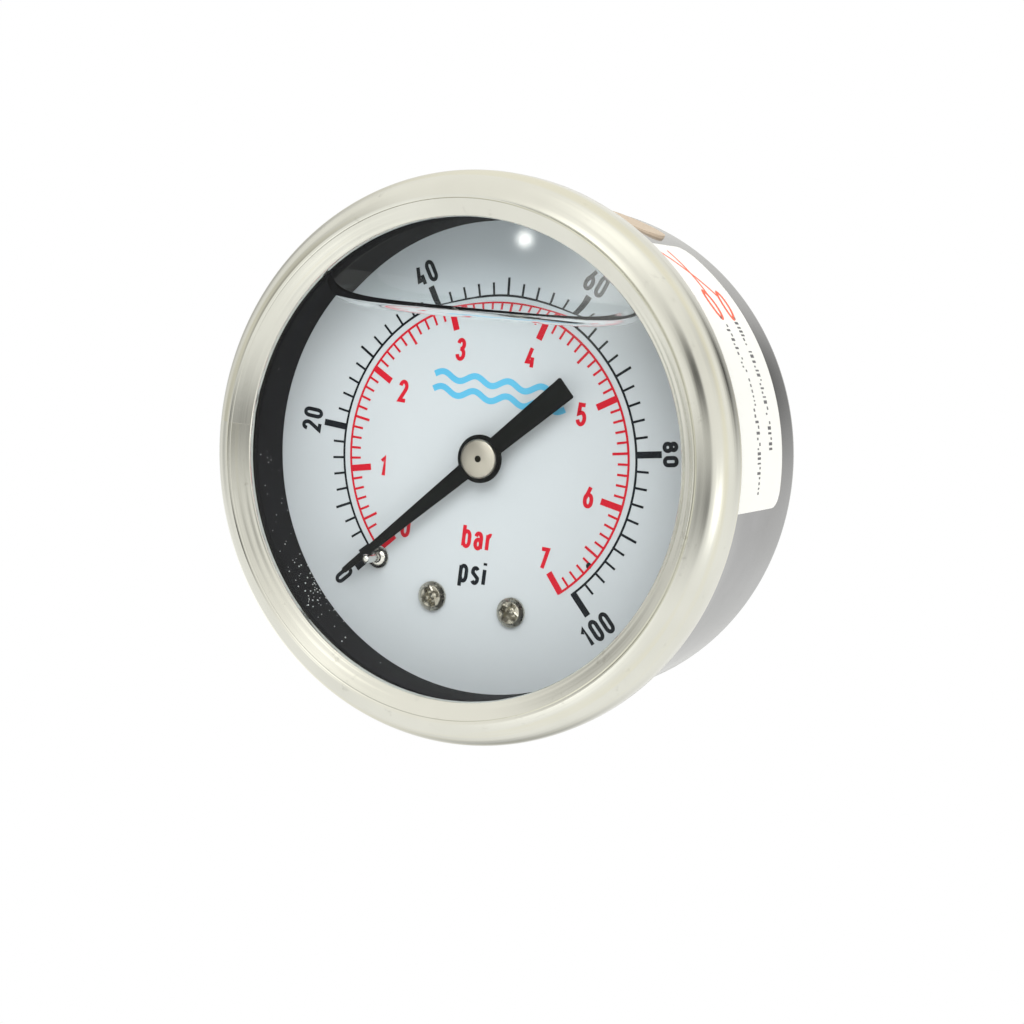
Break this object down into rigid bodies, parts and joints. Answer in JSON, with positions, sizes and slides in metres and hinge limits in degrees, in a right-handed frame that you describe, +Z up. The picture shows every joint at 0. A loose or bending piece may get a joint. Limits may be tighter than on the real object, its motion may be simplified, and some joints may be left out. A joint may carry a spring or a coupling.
{
  "type": "pressure gauge",
  "caption": "Liquid-filled Bourdon-tube pressure gauge with a centre-back threaded stem, a dual-scale dial and a crimped steel bezel.",
  "frame": {"origin": "on the gauge's axis, in the plane of the stem's end face, where the gauge seals at the bottom of its port", "axes": "-Y is the way the dial faces, +Y is the way the threaded stem points, +Z is up on the dial, +X is to the reader's right"},
  "size_m": [0.056, 0.0506, 0.056],
  "materials": {
    "polished_steel": "deep-drawn stainless steel, polished, faint warm cast",
    "satin_steel": "stainless steel, fine satin, bright edges",
    "plated_screw": "nickel-plated steel, slightly dull",
    "window_glass": "clear, flat, very slightly green at the edge",
    "black_rubber": "matte black moulded rubber",
    "plug_rubber": "amber moulded rubber",
    "label_paper": "white gloss-laminated paper with plain marks",
    "stem_brass": "turned and milled brass",
    "movement_brass": "stamped brass, bright",
    "tube_bronze": "drawn phosphor bronze tube",
    "spring_bronze": "thin phosphor bronze strip",
    "dial_white": "satin white enamel with black and red print",
    "pointer_black": "matte black paint",
    "hub_steel": "turned nickel-plated brass, dull"
  },
  "bodies": {
    "gauge_body": {"case": "polished_steel", "bezel_ring": "satin_steel", "window": "window_glass", "window_gasket": "black_rubber", "filler_plug": "plug_rubber", "case_label": "label_paper", "socket": "stem_brass", "socket_o_ring": "black_rubber", "case_screws": "plated_screw", "restrictor_screw": "movement_brass", "passage_plug": "stem_brass", "bourdon_tube": "tube_bronze", "bottom_plate": "movement_brass", "top_plate": "movement_brass", "pillars": "movement_brass", "plate_screws": "plated_screw", "movement_screws": "plated_screw", "hairspring": "spring_bronze", "hairspring_stud": "movement_brass", "dial": "dial_white", "dial_screws": "plated_screw", "stop_pin": "plated_screw"},
    "pointer_set": {"pinion_arbor": "plated_screw", "hairspring_collet": "movement_brass", "pointer": "pointer_black", "pointer_hub": "hub_steel"},
    "sector_set": {"sector_gear": "movement_brass", "sector_arbor": "plated_screw", "sector_pin": "plated_screw"},
    "tube_end": {"tube_tip": "movement_brass", "tip_pin": "plated_screw"},
    "link_bar": {"link": "movement_brass"}
  },
  "joints": [
    {"name": "pointer_spin", "type": "hinge", "parent": "gauge_body", "child": "pointer_set", "pos_m": [0, -0.035, 0], "axis": [0, 1, 0], "range_deg": [0, 276], "deforming": ["hairspring"]},
    {"name": "sector_swing", "type": "hinge", "parent": "gauge_body", "child": "sector_set", "pos_m": [0.01195, -0.035, 0.00105], "axis": [0, 1, 0], "range_deg": [-25.2, 0.1]},
    {"name": "tube_flex", "type": "hinge", "parent": "gauge_body", "child": "tube_end", "pos_m": [-0.00146, -0.031, 0.00421], "axis": [0, 1, 0], "range_deg": [-8.1, 0.1], "deforming": ["bourdon_tube"]},
    {"name": "link_pivot", "type": "hinge", "parent": "tube_end", "child": "link_bar", "pos_m": [0.01393, -0.0357, -0.00975], "axis": [0, 1, 0], "range_deg": [-0.1, 5.1]}
  ],
  "couplings": [
    {"joint": "sector_swing", "follows": "pointer_spin", "ratio": -0.090909},
    {"joint": "tube_flex", "follows": "pointer_spin", "ratio": -0.029107},
    {"joint": "link_pivot", "follows": "pointer_spin", "ratio": 0.018116}
  ]
}
